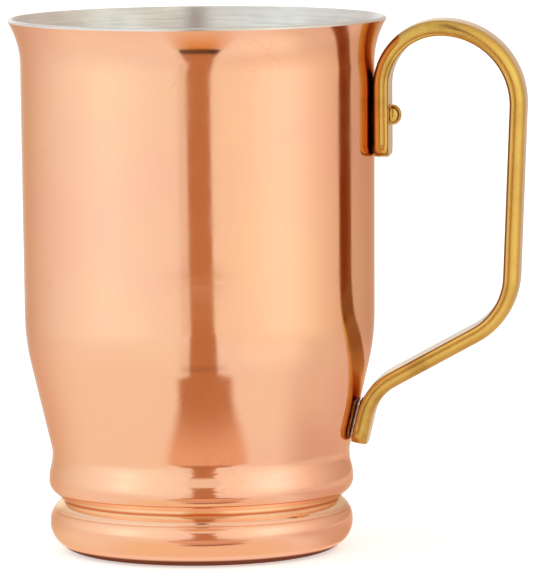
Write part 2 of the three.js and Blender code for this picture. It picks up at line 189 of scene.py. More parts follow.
class MugStudio(bpy.types.PropertyGroup):
    """Camera and light"""

    distance: length("Camera distance", "Level distance from the mug's axis", 1370)
    camera_height: length("Camera height", "Height of the camera above the table", 200.2)
    aim_height: length("Aim height", "Height that the camera looks at", 59.3)
    aim_side: length("Aim side", "How far it looks to the right of the axis", 15.05)
    turn: angle("Turn", "Camera's turn round the mug towards the handle", 6.4)
    roll: angle("Roll", "Turn of the camera about its own axis", -0.509)
    lens: FloatProperty(
        name="Lens", description="Focal length in millimetres", default=385.78, min=10, max=2000
    )
    tent: colour("Tent", "Light of the tent all round", 0.58, 0.45, 0.375)
    light: colour("Lights", "Colour of the left and back lights", 0.6, 0.82, 0.86)
    left_side: angle("Left light", "Way to the left light, from the camera's way", -62)
    left_rise: angle("Left light's rise", "Height of the left and back lights as an angle", 10)
    left_narrow: share("Left light's narrowness", "How fast the left light fades round it", 1.0, 50)
    left_light: share("Left light's strength", "Light at the middle of the left light", 0.95, 5)
    streak_narrow: share("Streak's narrowness", "How fast the left light's streak fades", 40, 200)
    streak_light: share("Streak's strength", "Light at the middle of the streak", 0.3, 5)
    right_warm: colour("Right light's colour", "Colour of the right light", 0.6, 0.58, 0.4)
    right_cool: colour("Right light's middle", "Cooler light at its middle", 0.0, 0.34, 0.54)
    cool_narrow: share("Right light's middle narrowness", "How fast its middle fades", 14, 50)
    right_side: angle("Right light", "Way to the right light, from the camera's way", 58)
    right_rise: angle("Right light's rise", "Height of the right light as an angle", 12)
    right_narrow: share("Right light's narrowness", "How fast the right light fades", 2.9, 50)
    right_light: share("Right light's strength", "Light at the middle of the right light", 0.92, 5)
    back_side: angle("Back light", "Way to the light behind the mug", 187)
    back_narrow: share("Back light's narrowness", "How fast the light behind fades", 40, 200)
    back_light: share("Back light's strength", "Light at the middle of the back", 1.0, 5)
    floor_lift: share("Floor lift", "Light added to the floor for the camera alone", 0.5, 2)
    floor_disc: length("Floor disc", "Radius of the floor that the metal mirrors", 350)


GROUPS = {
    "mug_cup": MugCupSizes,
    "mug_handle": MugHandleSizes,
    "mug_fixing": MugFixingSizes,
    "mug_finish": MugFinishes,
    "mug_studio": MugStudio,
}


# Outlines in the plane of radius and height

def stretch(start, end, count):
    shares = np.linspace(0, 1, count + 1)[:, None]
    return np.array(start) * (1 - shares) + np.array(end) * shares


def curve(points, count):
    """A Bezier curve of any degree through its two end points."""
    shares = np.linspace(0, 1, count + 1)[:, None]
    degree = len(points) - 1
    total = 0
    for i, point in enumerate(points):
        weight = math.comb(degree, i) * shares**i * (1 - shares) ** (degree - i)
        total = total + weight * np.array(point, float)
    return total


def round_turn(centre, radii, start, end, count):
    turns = np.linspace(start, end, count + 1)
    across = centre[0] + radii[0] * np.cos(turns)
    return np.stack([across, centre[1] + radii[1] * np.sin(turns)], 1)


class CupOutline:
    """Radii and heights of the cup that follow from its sizes."""

    def __init__(self, sizes):
        s = self.sizes = sizes
        self.knee_radius = s.wall_radius - s.wall_draft
        self.bulge_radius = s.wall_radius - s.bulge_set_in
        self.waist_radius = self.bulge_radius - s.waist_set_in
        self.groove_radius = self.bulge_radius - s.groove_depth
        self.bead_radius = self.bulge_radius - s.bead_set_in
        self.crease_radius = self.bead_radius - s.crease_set_in
        self.floor_radius = self.bead_radius - s.bead_roll
        self.flank_radius = self.bulge_radius - s.bulge_rounding * (1 - math.cos(s.flank))
        self.crease_height = s.bead_height + s.crease_rise
        self.groove_height = self.crease_height + s.groove_rise
        flank_rise = (self.flank_radius - self.groove_radius) / math.tan(s.flank)
        self.flank_height = self.groove_height + flank_rise
        self.bulge_height = self.flank_height + s.bulge_rounding * math.sin(s.flank)
        self.waist_height = self.bulge_height + s.waist_rise
        self.taper_foot = self.waist_height + s.waist_ease
        gain = self.knee_radius - self.waist_radius
        self.taper_slope = gain / (s.knee_height - self.taper_foot)
        self.taper = math.atan(self.taper_slope)

    def taper_radius(self, height):
        return self.knee_radius - (self.sizes.knee_height - height) * self.taper_slope

    def lip(self):
        """The cup's outer edge at the lip, the ways out and along there, and half the metal."""
        s = self.sizes
        half = (s.copper + s.lining) / 2
        sin, cos = math.sin(s.flare), math.cos(s.flare)
        lip_radius = s.wall_radius + s.lip_overhang
        edge = np.array([
            lip_radius + half * cos - math.hypot(half * cos, s.lip_crown * sin),
            s.lip_height - half * sin - math.hypot(half * sin, s.lip_crown * cos),
        ])
        return edge, np.array([cos, -sin]), np.array([sin, cos]), half

    def flare_bend(self):
        """Where the wall turns out into the flare, and the radius of that turn."""
        s = self.sizes
        edge = self.lip()[0]
        rise = (edge[0] - s.wall_radius) / math.tan(s.flare / 2)
        return (s.wall_radius, edge[1] - rise), rise / math.sin(s.flare)

    def foot(self):
        s = self.sizes
        widest = (self.bead_radius, s.bead_height)
        upright = (self.bead_radius, s.bead_height + s.bead_upright)
        crease = (self.crease_radius, self.crease_height)
        collar = (self.crease_radius - s.collar_set_in, self.crease_height + s.collar_rise)
        groove = (self.groove_radius, self.groove_height)
        return [
            stretch((0, 0), (self.floor_radius, 0), 5),
            round_turn(
                (self.floor_radius, s.bead_height), (s.bead_roll, s.bead_height), -QUARTER, 0, 40
            ),
            curve([widest, upright, crease], 14),
            curve([crease, collar, groove], 12),
        ]

    def bulge(self):
        s = self.sizes
        groove = (self.groove_radius, self.groove_height)
        centre = (self.bulge_radius - s.bulge_rounding, self.bulge_height)
        widest = (self.bulge_radius, self.bulge_height)
        waist = (self.waist_radius, self.waist_height)
        middle = (self.bulge_height + self.waist_height) / 2
        neck = [widest, (widest[0], middle), (waist[0], middle), waist]
        return [
            stretch(groove, (self.flank_radius, self.flank_height), 4),
            round_turn(centre, (s.bulge_rounding,) * 2, -s.flank, 0, 20),
            curve(neck, 24),
        ]

    def wall(self):
        s = self.sizes
        start = self.taper_foot + s.waist_ease
        end = s.knee_height - s.knee_rounding
        taper_start = (self.taper_radius(start), start)
        taper_end = (self.taper_radius(end), end)
        knee = (self.knee_radius, s.knee_height)
        flare_start, bend = self.flare_bend()
        eased = s.knee_rounding / (flare_start[1] - s.knee_height)
        wall_start = np.array(knee) * (1 - eased) + np.array(flare_start) * eased
        centre = (flare_start[0] + bend, flare_start[1])
        return [
            curve([(self.waist_radius, self.waist_height), (self.waist_radius, self.taper_foot),
                   taper_start], 8),
            stretch(taper_start, taper_end, 12),
            curve([taper_end, knee, wall_start], 10),
            stretch(wall_start, flare_start, 24),
            round_turn(centre, (bend, bend), math.pi, math.pi - s.flare, 24),
        ]

    def wall_radius_at(self, height):
        s = self.sizes
        flare_height = self.flare_bend()[0][1]
        part = (height - s.knee_height) / (flare_height - s.knee_height)
        return self.knee_radius + (s.wall_radius - self.knee_radius) * part

    def set_in(self, depth):
        """The outline, set in from the outside by a depth, with its creases kept sharp."""
        done = []
        for piece in [*self.foot(), *self.bulge(), *self.wall()]:
            way = np.gradient(piece, axis=0)
            way /= np.linalg.norm(way, axis=1)[:, None]
            out = np.stack([way[:, 1], -way[:, 0]], 1)
            moved = piece - out * depth
            if done and np.linalg.norm(moved[0] - done[-1][-1]) > 1e-6:
                meeting = crossing(done[-1], moved)
                before = (done[-1] - meeting) @ (done[-1][-1] - done[-1][-2]) < -1e-9
                after = (moved - meeting) @ (moved[1] - moved[0]) > 1e-9
                done[-1] = np.vstack([done[-1][before], meeting])
                moved = np.vstack([meeting, moved[after]])
            done.append(moved)
        joined = [done[0]]
        joined += [piece[1:] for piece in done[1:]]
        outline = np.vstack(joined)
        outline[0, 0] = 0
        return outline


def crossing(first, second):
    """Where the last run of one line meets the first run of the next, both run on."""
    start, way = first[-1], first[-1] - first[-2]
    other, other_way = second[0], second[1] - second[0]
    sides = np.array([way, -other_way]).T
    if abs(np.linalg.det(sides)) < 1e-12:
        return (start + other) / 2
    return start + way * np.linalg.solve(sides, other - start)[0]


# Meshes

def new_object(name, vertices, faces, smooth_below=35):
    mesh = bpy.data.meshes.new(name)
    mesh.from_pydata([tuple(v) for v in vertices], [], faces)
    mesh.validate()
    mesh.shade_smooth()
    mesh.set_sharp_from_angle(angle=math.radians(smooth_below))
    item = bpy.data.objects.new(name, mesh)
    bpy.context.scene.collection.objects.link(item)
    return item


def spun(name, outline, turns, smooth_below=35):
    """A solid turned about the Z axis. Its outline starts and ends on the axis."""
    rings = outline[1:-1]
    around = np.linspace(0, 2 * math.pi, turns, endpoint=False)
    vertices = [(r * math.cos(a), r * math.sin(a), z) for r, z in rings for a in around]
    first, last = len(vertices), len(vertices) + 1
    vertices += [(0, 0, outline[0][1]), (0, 0, outline[-1][1])]
    faces = []
    for i in range(len(rings) - 1):
        for j in range(turns):
            k = (j + 1) % turns
            a, b = i * turns, (i + 1) * turns
            faces.append((a + j, a + k, b + k, b + j))
    top = (len(rings) - 1) * turns
    for j in range(turns):
        k = (j + 1) % turns
        faces.append((first, k, j))
        faces.append((last, top + j, top + k))
    return new_object(name, vertices, faces, smooth_below)


def rivet_height(cup, fixing):
    return cup.lip_height - fixing.rivet_below_lip


def bored(item, cup, fixing):
    """Cuts the rivet's round hole along X through a piece."""
    start, end = cup.wall_radius / 2, cup.wall_radius * 1.5
    mesh = bpy.data.meshes.new("bore")
    shape = bmesh.new()
    middle = Matrix.Translation(((start + end) / 2, 0, rivet_height(cup, fixing)))
    bmesh.ops.create_cone(
        shape, cap_ends=True, segments=48, radius1=fixing.hole, radius2=fixing.hole,
        depth=end - start, matrix=middle @ Matrix.Rotation(QUARTER, 4, "Y"),
    )
    shape.to_mesh(mesh)
    shape.free()
    bore = bpy.data.objects.new("bore", mesh)
    bpy.context.scene.collection.objects.link(bore)
    cut = item.modifiers.new("bore", "BOOLEAN")
    cut.operation = "DIFFERENCE"
    cut.solver = "EXACT"
    cut.object = bore
    seen = item.evaluated_get(bpy.context.evaluated_depsgraph_get())
    result = bpy.data.meshes.new_from_object(seen)
    if len(result.polygons) < len(item.data.polygons) // 2:
        raise RuntimeError(f"the hole through {item.name} failed")
    item.modifiers.clear()
    item.data = result
    bpy.data.objects.remove(bore)


def dressed(item, finish, slot, *nodes):
    """Gives a piece its finish and its body, and hides the frame's nodes that it stands for."""
    item.data.materials.clear()
    item.data.materials.append(finish)
    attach(item, BODY)
    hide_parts(*nodes)


# Line of the handle in the plane of X and Z

class HandleLine:
    """The bar's middle line in straight runs and round bends, sampled as points and ways."""

    def __init__(self, sizes, cup, fixing):
        s = sizes
        tab_foot = rivet_height(cup.sizes, fixing) - s.tab_below_rivet
        top = cup.sizes.lip_height - s.below_lip
        tab_x = cup.sizes.wall_radius + s.tab_gap + s.crown + s.thickness / 2
        trim = s.grip_top_bend * math.tan(math.pi / 4 + s.grip_lean / 2)
        grip_top = np.array([tab_x + s.upper_bend + s.top_straight + trim, top])
        low = cup.waist_height + s.above_waist
        stand_off = (fixing.solder + s.thickness / 2) / math.cos(cup.taper)
        tab_end = np.array([cup.taper_radius(low) + stand_off, low])
        elbow = tab_end + s.lower_tab * np.array([math.sin(cup.taper), math.cos(cup.taper)])
        lean, rise = math.tan(s.grip_lean), math.tan(s.arm_slope)
        fall = grip_top[1] - elbow[1] + rise * elbow[0]
        foot_x = (grip_top[0] - lean * fall) / (1 - lean * rise)
        foot = np.array([foot_x, elbow[1] + rise * (foot_x - elbow[0])])
        corners = [
            (np.array([tab_x, tab_foot]), 0),
            (np.array([tab_x, top]), s.upper_bend),
            (grip_top, s.grip_top_bend),
            (foot, s.grip_foot_bend),
            (elbow, s.lower_bend),
            (tab_end, 0),
        ]
        self.tab_end, self.elbow = tab_end, elbow
        self.runs = []
        start = corners[0][0]
        for (before, _), (corner, radius), (after, _) in zip(corners, corners[1:], corners[2:]):
            way = (corner - before) / np.linalg.norm(corner - before)
            next_way = (after - corner) / np.linalg.norm(after - corner)
            side = np.sign(way[0] * next_way[1] - way[1] * next_way[0])
            turn = math.acos(way @ next_way)
            trim = radius * math.tan(turn / 2)
            bend_start = corner - way * trim
            centre = bend_start + side * radius * np.array([-way[1], way[0]])
            self.runs.append(("straight", start, bend_start))
            self.runs.append(("bend", centre, bend_start - centre, side * turn))
            start = corner + next_way * trim
        self.runs.append(("straight", start, corners[-1][0]))

    def sampled(self, step):
        points, ways = [], []
        for run in self.runs:
            if run[0] == "straight":
                span = np.linalg.norm(run[2] - run[1])
                count = max(1, math.ceil(span / step))
                way = (run[2] - run[1]) / span
                for point in stretch(run[1], run[2], count)[:-1]:
                    points.append(point)
                    ways.append(way)
            else:
                _, centre, arm, turn = run
                count = max(4, math.ceil(abs(turn) * np.linalg.norm(arm) / step))
                for angle_now in np.linspace(0, turn, count + 1)[:-1]:
                    c, s = math.cos(angle_now), math.sin(angle_now)
                    spoke = np.array([c * arm[0] - s * arm[1], s * arm[0] + c * arm[1]])
                    points.append(centre + spoke)
                    way = np.array([-spoke[1], spoke[0]]) * np.sign(turn)
                    ways.append(way / np.linalg.norm(way))
        last = self.runs[-1]
        points.append(last[2])
        ways.append((last[2] - last[1]) / np.linalg.norm(last[2] - last[1]))
        return np.array(points), np.array(ways)


def bar_section(s):
    """The bar's section: first value across its width, second value towards its flat face."""
    side, face = s.width / 2, s.thickness / 2
    crowned, flat = s.outer_edge, s.inner_edge
    crest = curve([(-side + crowned, -face), (0, -face - 2 * s.crown), (side - crowned, -face)], 14)
    left, right = -side + crowned, side - crowned
    return np.vstack([
        crest,
        round_turn((right, -face + crowned), (crowned,) * 2, -QUARTER, 0, 14)[1:],
        round_turn((side - flat, face - flat), (flat,) * 2, 0, QUARTER, 8),
        stretch((side - flat, face), (-side + flat, face), 10)[1:-1],
        round_turn((-side + flat, face - flat), (flat,) * 2, QUARTER, 2 * QUARTER, 8),
        round_turn((left, -face + crowned), (crowned,) * 2, 2 * QUARTER, 3 * QUARTER, 14)[:-1],
    ])


def swept_bar(name, line, s):
    """The bar along its line, with rounded tab corners and softened ends."""
    step, clear = 0.9 * MM, 0.2 * MM
    points, ways = line.sampled(step)
    so_far = np.concatenate([[0], np.cumsum(np.linalg.norm(np.diff(points, axis=0), axis=1))])
    whole = so_far[-1]
    near = s.tab_corner * (1 - np.cos(np.linspace(0, QUARTER, 14)))
    close = s.end_edge * (1 - np.cos(np.linspace(0, QUARTER, 6)))
    ends = np.unique(np.round(np.concatenate([near, close]), 7))
    margin = s.tab_corner + clear
    keep = so_far[(so_far > margin) & (so_far < whole - margin)]
    stations = np.concatenate([ends, keep, (whole - ends)[::-1]])
    section = bar_section(s)
    half = s.width / 2
    vertices, rows = [], []
    for station in stations:
        x = np.interp(station, so_far, points[:, 0])
        z = np.interp(station, so_far, points[:, 1])
        way = np.array([np.interp(station, so_far, ways[:, axis]) for axis in (0, 1)])
        way /= np.linalg.norm(way)
        flat_way = np.array([way[1], -way[0]])
        from_end = min(station, whole - station)
        corner = max(0.0, s.tab_corner - from_end)
        narrowed = s.tab_corner - math.sqrt(max(0.0, s.tab_corner**2 - corner**2))
        edge = max(0.0, s.end_edge - from_end)
        softened = s.end_edge - math.sqrt(max(0.0, s.end_edge**2 - edge**2))
        wide = (half - narrowed - softened) / half
        thick = (s.thickness / 2 - softened) / (s.thickness / 2)
        rows.append(range(len(vertices), len(vertices) + len(section)))
        for across, up in section:
            off = flat_way * up * thick
            vertices.append((x + off[0], -across * wide, z + off[1]))
    count = len(section)
    faces = []
    for one, two in zip(rows, rows[1:]):
        for j in range(count):
            k = (j + 1) % count
            faces.append((one[j], two[j], two[k], one[k]))
    faces.append(tuple(rows[0]))
    faces.append(tuple(reversed(rows[-1])))
    bar = new_object(name, vertices, faces, 40)
    lay_grain(bar, stations, section)
    return bar


def lay_grain(bar, stations, section):
    """A map on the bar: along its length, and round its section, ten to the metre."""
    count = len(section)
    closed = np.vstack([section, section[:1]])
    round_it = np.concatenate([[0], np.cumsum(np.linalg.norm(np.diff(closed, axis=0), axis=1))])
    grain = bar.data.uv_layers.new(name="grain")
    for face in bar.data.polygons:
        spots = [bar.data.loops[i].vertex_index for i in face.loop_indices]
        seam = face.loop_total == 4 and {0, count - 1} <= {vertex % count for vertex in spots}
        for i, vertex in zip(face.loop_indices, spots):
            spot = round_it[-1 if seam and vertex % count == 0 else vertex % count]
            grain.data[i].uv = (stations[vertex // count] * 10, spot * 10)


# Finishes

class Finish:
    """A material's nodes, made with short calls."""

    def __init__(self, name, metallic=1.0):
        self.material = bpy.data.materials.new(name)
        self.material.use_nodes = True
        self.nodes = self.material.node_tree.nodes
        self.links = self.material.node_tree.links
        self.shader = self.nodes["Principled BSDF"]
        self.shader.inputs["Metallic"].default_value = metallic
        self.place = self.nodes.new("ShaderNodeTexCoord")

    def join(self, source, target):
        if hasattr(source, "links"):
            self.links.new(source, target)
        elif hasattr(source, "__len__"):
            target.default_value = (*source[:3], 1.0)[: len(target.default_value)]
        else:
            target.default_value = source

    def sum(self, how, first, second=0.0):
        node = self.nodes.new("ShaderNodeMath")
        node.operation = how
        self.join(first, node.inputs[0])
        self.join(second, node.inputs[1])
        return node.outputs[0]

    def product(self, first, *others):
        for other in others:
            first = self.sum("MULTIPLY", first, other)
        return first

    def off(self, value, middle):
        return self.sum("ABSOLUTE", self.sum("SUBTRACT", value, middle))

    def radius(self, x, y):
        return self.sum("SQRT", self.sum("ADD", self.product(x, x), self.product(y, y)))

    def spread(self, where, x, y, z):
        node = self.nodes.new("ShaderNodeMapping")
        self.join(where, node.inputs["Vector"])
        node.inputs["Scale"].default_value = (x, y, z)
        return node.outputs[0]

    def mottle(self, where, size, detail=4.0, roughness=0.5):
        """Noise whose lumps are about one unit of size across."""
        node = self.nodes.new("ShaderNodeTexNoise")
        self.join(where, node.inputs["Vector"])
        node.inputs["Scale"].default_value = 1 / size
        node.inputs["Detail"].default_value = detail
        node.inputs["Roughness"].default_value = roughness
        return node.outputs["Fac"]

    def between(self, value, low, high, to_low=0.0, to_high=1.0):
        node = self.nodes.new("ShaderNodeMapRange")
        node.interpolation_type = "SMOOTHSTEP"
        self.join(value, node.inputs["Value"])
        if low > high:
            low, high, to_low, to_high = high, low, to_high, to_low
        node.inputs["From Min"].default_value = low
        node.inputs["From Max"].default_value = high
        node.inputs["To Min"].default_value = to_low
        node.inputs["To Max"].default_value = to_high
        return node.outputs[0]

    def band(self, value, start, full, ebb, end):
        """1 between full and ebb, and 0 before start and after end."""
        return self.product(self.between(value, start, full), self.between(value, ebb, end, 1, 0))

    def blend(self, amount, first, second):
        node = self.nodes.new("ShaderNodeMix")
        node.data_type = "RGBA"
        self.join(amount, node.inputs[0])
        self.join(first, node.inputs[6])
        self.join(second, node.inputs[7])
        return node.outputs[2]

    def relief(self, height, depth, under=None):
        node = self.nodes.new("ShaderNodeBump")
        node.inputs["Strength"].default_value = 1.0
        node.inputs["Distance"].default_value = depth
        self.join(height, node.inputs["Height"])
        if under is not None:
            self.join(under, node.inputs["Normal"])
        return node.outputs[0]

    def set(self, **values):
        for name, value in values.items():
            self.join(value, self.shader.inputs[name.replace("_", " ").title()])
        return self.material

    def parts(self, where):
        node = self.nodes.new("ShaderNodeSeparateXYZ")
        self.join(where, node.inputs[0])
        return node.outputs

    def put(self, x, y, z):
        node = self.nodes.new("ShaderNodeCombineXYZ")
        for value, target in zip((x, y, z), node.inputs):
            self.join(value, target)
        return node.outputs[0]


def copper_finish(colours, outline):
    """Polished copper: rosy drifts, smudges, faint lines from spinning and faint dark scrawls, with
    painted shade in the groove's crease and the fine crease, and a painted highlight in a pale band
    along the groove.
    """
    f = Finish("polished_copper")
    where = f.place.outputs["Object"]
    z = f.parts(where)[2]
    drift = f.between(f.mottle(where, 40 * MM, 3), 0.35, 0.65)
    colour_now = f.blend(drift, colours.copper, colours.copper_rosy)
    above = f.sum("SUBTRACT", z, outline.groove_height)
    # Painted highlight: a pale band is painted round the groove, from about 1 mm below it to 0.8 mm
    # above, and faintly farther down the collar.
    collar = f.between(above, -1.6 * MM, -1.1 * MM, 0.2, 1)
    painted_highlight = f.sum("MAXIMUM", collar, f.between(above, -0.1 * MM, 0.1 * MM))
    painted_highlight = f.product(painted_highlight, f.band(above, -2.4 * MM, -2.1 * MM, 0.8 * MM, 1.1 * MM))
    colour_now = f.blend(painted_highlight, colour_now, colours.painted_groove_highlight)
    # Painted shade: the groove's crease and the fine crease below it are darkened with the dark
    # copper.
    crease = f.between(f.off(z, outline.groove_height), 0.05 * MM, 0.4 * MM, 0.65, 0)
    painted_fine_crease_shade = f.between(f.off(z, outline.crease_height), 0.08 * MM, 0.2 * MM, 0.5, 0)
    colour_now = f.blend(f.sum("MAXIMUM", crease, painted_fine_crease_shade), colour_now, colours.crease_shade_and_oxide)
    scrawl = f.between(f.off(f.mottle(where, 11 * MM, 2), 0.5), 0.002, 0.009, 0.13, 0)
    scrawl = f.product(scrawl, f.between(f.mottle(where, 23 * MM, 1), 0.54, 0.62))
    colour_now = f.blend(scrawl, colour_now, colours.crease_shade_and_oxide)
    smudge = f.mottle(where, 12 * MM, 6, 0.6)
    low = colours.copper_roughness
    rough = f.between(smudge, 0.35, 0.7, low - 0.02, low + 0.04)
    lines = f.mottle(f.spread(where, 1, 1, 60), 30 * MM, 3, 0.7)
    peel = f.mottle(where, 0.9 * MM, 2)
    shape = f.relief(lines, 0.004 * MM)
    shape = f.relief(peel, 0.003 * MM, shape)
    return f.set(base_color=colour_now, roughness=rough, normal=shape,
                 specular_tint=colours.copper_edge)


def tin_finish(colours):
    """Tin, wiped on and brushed round the cup."""
    f = Finish("brushed_tin")
    where = f.place.outputs["Object"]
    x, y, z = f.parts(where)
    round_it = f.put(x, f.product(f.radius(x, y), 40), f.product(z, 40))
    strokes = f.mottle(round_it, 14 * MM, 6, 0.65)
    cloud = f.mottle(where, 9 * MM, 4)
    colour_now = f.blend(f.between(cloud, 0.35, 0.7), colours.tin, colours.tin_dull)
    rough = f.between(strokes, 0.3, 0.7, colours.tin_roughness - 0.06, colours.tin_roughness + 0.08)
    around = f.nodes.new("ShaderNodeTangent")
    around.direction_type, around.axis = "RADIAL", "Z"
    return f.set(base_color=colour_now, roughness=rough, normal=f.relief(strokes, 0.02 * MM),
                 anisotropic=0.95, anisotropic_rotation=0.25, tangent=around.outputs[0])


def brass_finish(colours, name, where_name, along=0.06):
    """Satin brass: fine scratches along the bar, soft dents, brown in small pits, and painted shade
    on the grip's inner face."""
    f = Finish(name)
    where = f.place.outputs[where_name]
    fine = 1.2 * MM if where_name == "UV" else 0.4 * MM
    scratches = f.mottle(f.spread(where, along, 1, 1), fine, 5, 0.65)
    place = f.place.outputs["Object"]
    drift = f.between(f.mottle(place, 9 * MM, 4, 0.6), 0.4, 0.72)
    pits = f.between(f.mottle(place, 0.5 * MM, 3, 0.6), 0.66, 0.78)
    x, _, z = f.parts(place)
    held = f.product(f.between(x, 50 * MM, 60 * MM), f.between(z, 118 * MM, 105 * MM))
    brown = f.product(f.sum("ADD", drift, 0.6), f.between(held, 0, 1, 0.5, 0.28))
    colour_now = f.blend(f.sum("MAXIMUM", brown, pits), colours.brass, colours.brass_brown)
    # Painted shade: the grip's inner face, turned towards the cup, is painted dark.
    shaded_inner_face = f.between(f.parts(f.place.outputs["Normal"])[0], -0.2, -0.6)
    grip = f.between(x, 38 * MM, 52 * MM)
    colour_now = f.blend(f.product(shaded_inner_face, grip), colour_now, colours.painted_shade_brass)
    low = colours.brass_roughness
    rough = f.between(scratches, 0.3, 0.7, low - 0.05, low + 0.06)
    shape = f.relief(scratches, 0.006 * MM)
    shape = f.relief(f.mottle(place, 3.5 * MM, 2), 0.035 * MM, shape)
    return f.set(base_color=colour_now, roughness=rough, normal=shape,
                 specular_tint=colours.brass_edge)


def solder_finish(colours):
    """Grey solder, lumpy and a little dull."""
    f = Finish("grey_solder")
    where = f.place.outputs["Object"]
    lumps = f.mottle(where, 1.2 * MM, 5, 0.6)
    colour_now = f.blend(f.between(lumps, 0.4, 0.75), colours.solder, (0.45, 0.4, 0.38))
    rough = f.between(lumps, 0.3, 0.7, 0.3, 0.5)
    return f.set(base_color=colour_now, roughness=rough, normal=f.relief(lumps, 0.25 * MM))


# Operators, one for each piece

class MugOperator:
    bl_options = {"REGISTER", "UNDO"}

    def settings(self, context):
        scene = context.scene
        return scene.mug_cup, scene.mug_handle, scene.mug_fixing, scene.mug_finish


class MUG_OT_copper_cup(MugOperator, bpy.types.Operator):
    """Spin the copper cup, from its flat floor to the lip"""

    bl_idname = "mug.copper_cup"
    bl_label = "Copper cup"

    def execute(self, context):
        cup, _, fixing, colours = self.settings(context)
        outline = CupOutline(cup)
        outside, inside = outline.set_in(0), outline.set_in(cup.copper)
        item = spun("copper_cup", np.vstack([outside, inside[::-1]]), cup.turns)
        bored(item, cup, fixing)
        dressed(item, copper_finish(colours, outline), "copper", "copper_body")
        return {"FINISHED"}


class MUG_OT_tin_lining(MugOperator, bpy.types.Operator):
    """Line the cup with tin, which wraps over the lip"""

    bl_idname = "mug.tin_lining"
    bl_label = "Tin lining"

    def execute(self, context):
        cup, _, fixing, colours = self.settings(context)
        outline = CupOutline(cup)
        edge, out, along, half = outline.lip()
        turns = np.linspace(0, math.pi, 11)[:-1, None]
        across, up = out * half, along * cup.lip_crown
        crown = edge - across + across * np.cos(turns) + up * np.sin(turns)
        outside = outline.set_in(cup.copper)
        inside = outline.set_in(cup.copper + cup.lining)
        item = spun("tin_inside", np.vstack([outside, crown, inside[::-1]]), cup.turns, 50)
        bored(item, cup, fixing)
        dressed(item, tin_finish(colours), "tin", "tin_lining")
        return {"FINISHED"}


class MUG_OT_brass_handle(MugOperator, bpy.types.Operator):
    """Bend the brass bar into the handle"""

    bl_idname = "mug.brass_handle"
    bl_label = "Brass handle"

    def execute(self, context):
        cup, handle, fixing, colours = self.settings(context)
        line = HandleLine(handle, CupOutline(cup), fixing)
        item = swept_bar("brass_bar", line, handle)
        bored(item, cup, fixing)
        dressed(item, brass_finish(colours, "satin_brass", "UV"), "brass", "brass_handle")
        return {"FINISHED"}


class MUG_OT_handle_rivet(MugOperator, bpy.types.Operator):
    """Set the rivet through the upper tab and the cup"""

    bl_idname = "mug.handle_rivet"
    bl_label = "Rivet"

    def execute(self, context):
        cup, handle, fixing, colours = self.settings(context)
        outline = CupOutline(cup)
        height = rivet_height(cup, fixing)
        seat = cup.wall_radius + handle.tab_gap + handle.crown + handle.thickness
        inside = outline.wall_radius_at(height) - cup.copper - cup.lining
        tail = math.sqrt(inside**2 - fixing.tail**2) - fixing.seat_gap
        waist = fixing.head - fixing.head_skirt
        skirt_top = seat + fixing.head_skirt
        dome = fixing.head_rise - fixing.head_skirt
        profile = np.vstack([
            round_turn((0, tail), (fixing.tail, fixing.tail_rise), -QUARTER, 0, 12),
            stretch((fixing.shank, tail), (fixing.shank, seat), 1),
            curve([(fixing.head, seat), (waist, seat), (waist, skirt_top)], 10),
            round_turn((0, skirt_top), (waist, dome), 0, QUARTER, 16)[1:],
        ])
        profile[0, 0] = profile[-1, 0] = 0
        item = spun("brass_rivet", profile, 64, 40)
        item.data.transform(Matrix.Translation((0, 0, height)) @ Matrix.Rotation(QUARTER, 4, "Y"))
        dressed(item, brass_finish(colours, "rivet_brass", "Object", 1.0), "brass", "handle_rivet")
        return {"FINISHED"}


class MUG_OT_solder(MugOperator, bpy.types.Operator):
    """Run solder between the lower tab and the cup"""

    bl_idname = "mug.solder"
    bl_label = "Solder"

    def execute(self, context):
        cup, handle, fixing, colours = self.settings(context)
        outline = CupOutline(cup)
        line = HandleLine(handle, outline, fixing)
        up = np.array([math.sin(outline.taper), math.cos(outline.taper)])
        to_wall = np.array([-up[1], up[0]])
        foot = line.tab_end + to_wall * handle.thickness / 2
        rows, columns = 28, 28
        half = fixing.solder_width / 2
        vertices, faces = [], []
        for layer in (0, 1):
            for i in range(rows + 1):
                for j in range(columns + 1):
                    v, u = 2 * i / rows - 1, 2 * j / columns - 1
                    u, v = rounded_square(u, v, fixing.solder_corner / half)
                    ragged = 1 + 0.05 * noise.noise(Vector((u * 3, v * 3, 7.0)))
                    across = u * half * ragged
                    rise = fixing.solder_above_end + (v * ragged + 1) / 2 * fixing.solder_height
                    near = foot + up * rise
                    if layer:
                        gap = fixing.seat_gap / math.cos(outline.taper)
                        wall = outline.taper_radius(near[1]) + gap
                        reach = math.sqrt(max(wall**2 - across**2, 0))
                        deep = (near[0] - reach) * math.cos(outline.taper)
                        near = near + to_wall * deep
                    vertices.append((near[0], across, near[1]))
        size = (rows + 1) * (columns + 1)
        for i in range(rows):
            for j in range(columns):
                a = i * (columns + 1) + j
                b, c, d = a + 1, a + columns + 2, a + columns + 1
                faces.append((a, b, c, d))
                faces.append((size + a, size + d, size + c, size + b))
        rim = list(range(columns))
        rim += [i * (columns + 1) + columns for i in range(rows)]
        rim += [rows * (columns + 1) + j for j in range(columns, 0, -1)]
        rim += [i * (columns + 1) for i in range(rows, 0, -1)]
        for a, b in zip(rim, rim[1:] + rim[:1]):
            faces.append((a, size + a, size + b, b))
        item = new_object("solder_seam", vertices, faces, 60)
        dressed(item, solder_finish(colours), "solder", "solder_pad")
        return {"FINISHED"}


